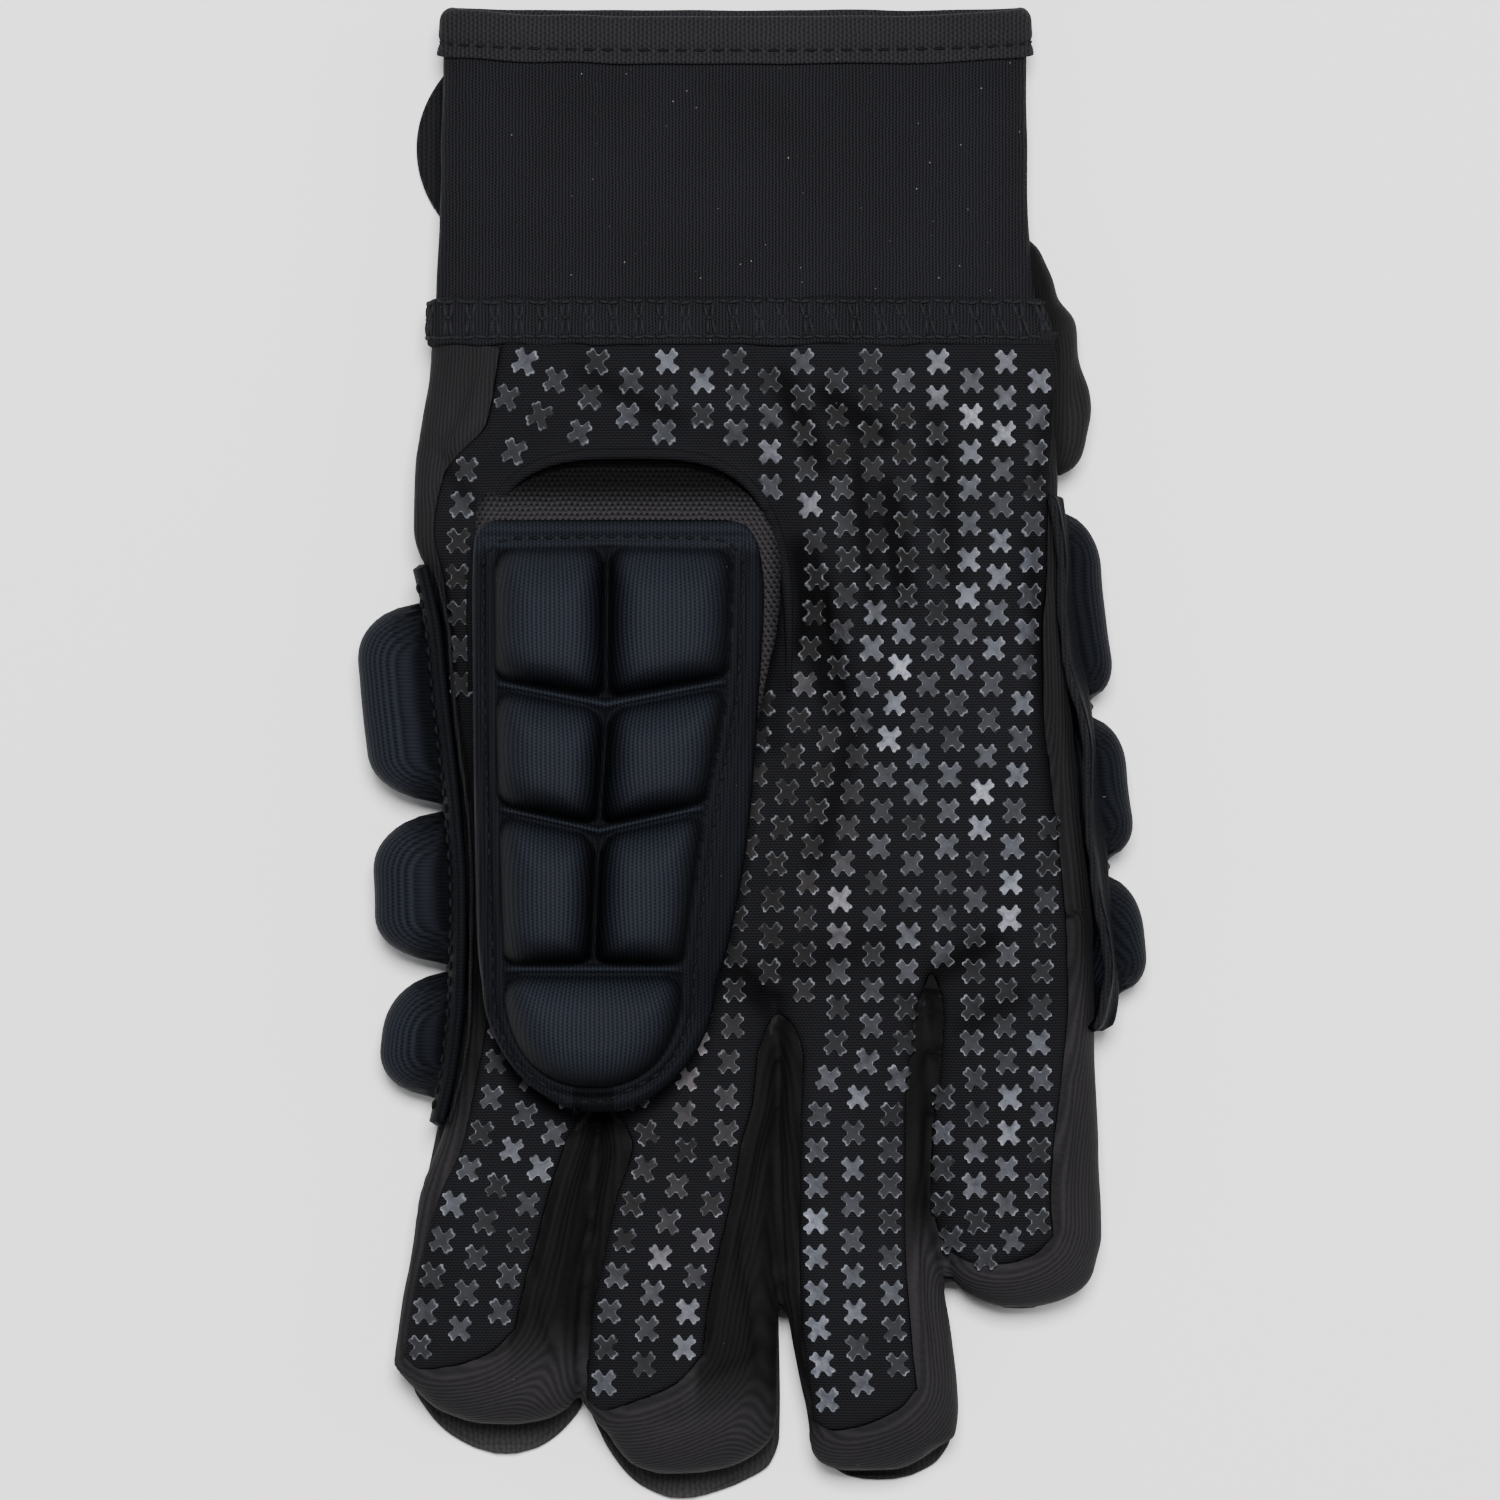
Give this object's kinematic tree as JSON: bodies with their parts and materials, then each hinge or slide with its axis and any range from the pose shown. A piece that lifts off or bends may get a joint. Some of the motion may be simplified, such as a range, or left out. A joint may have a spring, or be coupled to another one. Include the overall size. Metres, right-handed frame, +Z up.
{
  "type": "indoor hockey glove",
  "caption": "Black padded indoor field hockey glove for the right hand, palm up, with foam blocks on the back and thumb and a printed grip palm.",
  "frame": {"origin": "on the surface that the glove lies on, under the middle of its outline", "axes": "+Y from the fingertips to the wrist opening, +X from the index finger to the little finger, +Z up from the padded back to the palm"},
  "size_m": [0.128, 0.246, 0.0539],
  "materials": {
    "palm_cloth": "fine black knit with rubbery cross prints",
    "stretch_cloth": "warm black ribbed stretch cloth",
    "mesh_cloth": "coarse brown-black spacer mesh",
    "cuff_jersey": "black neoprene faced with smooth jersey",
    "binding_tape": "folded black tape with a stitch line",
    "strap_cloth": "black strap with loop pile and a bound edge",
    "pad_cloth": "blue-black knit laminated over moulded foam",
    "finger_pad_cloth": "black-brown suede-like cloth over foam",
    "grip_print": "glossy clear-grey rubber crosses printed on the palm",
    "thread": "black sewing thread"
  },
  "bodies": {
    "root": {"palm_panel": "palm_cloth", "back_panel": "stretch_cloth", "index_side_wall": "stretch_cloth", "little_side_wall": "stretch_cloth", "finger_wall_index": "stretch_cloth", "finger_wall_middle": "stretch_cloth", "finger_wall_ring": "stretch_cloth", "finger_wall_little": "stretch_cloth", "thumb_tube": "mesh_cloth", "cuff": "cuff_jersey", "cuff_binding": "binding_tape", "wrist_seam_band": "cuff_jersey", "wrist_gusset": "stretch_cloth", "wrist_strap": "strap_cloth", "thumb_pad_base": "pad_cloth", "thumb_block_1": "pad_cloth", "thumb_block_2": "pad_cloth", "thumb_block_3": "pad_cloth", "thumb_block_4": "pad_cloth", "thumb_block_5": "pad_cloth", "thumb_block_6": "pad_cloth", "thumb_block_7": "pad_cloth", "hand_pad_base": "pad_cloth", "hand_block_1_1": "pad_cloth", "hand_block_1_2": "pad_cloth", "hand_block_1_3": "pad_cloth", "hand_block_1_4": "pad_cloth", "hand_block_2_1": "pad_cloth", "hand_block_2_2": "pad_cloth", "hand_block_2_3": "pad_cloth", "hand_block_2_4": "pad_cloth", "hand_block_3_1": "pad_cloth", "hand_block_3_2": "pad_cloth", "hand_block_3_3": "pad_cloth", "hand_block_3_4": "pad_cloth", "finger_pad_index": "finger_pad_cloth", "finger_pad_middle": "finger_pad_cloth", "finger_pad_ring": "finger_pad_cloth", "finger_pad_little": "finger_pad_cloth"}
  },
  "joints": []
}
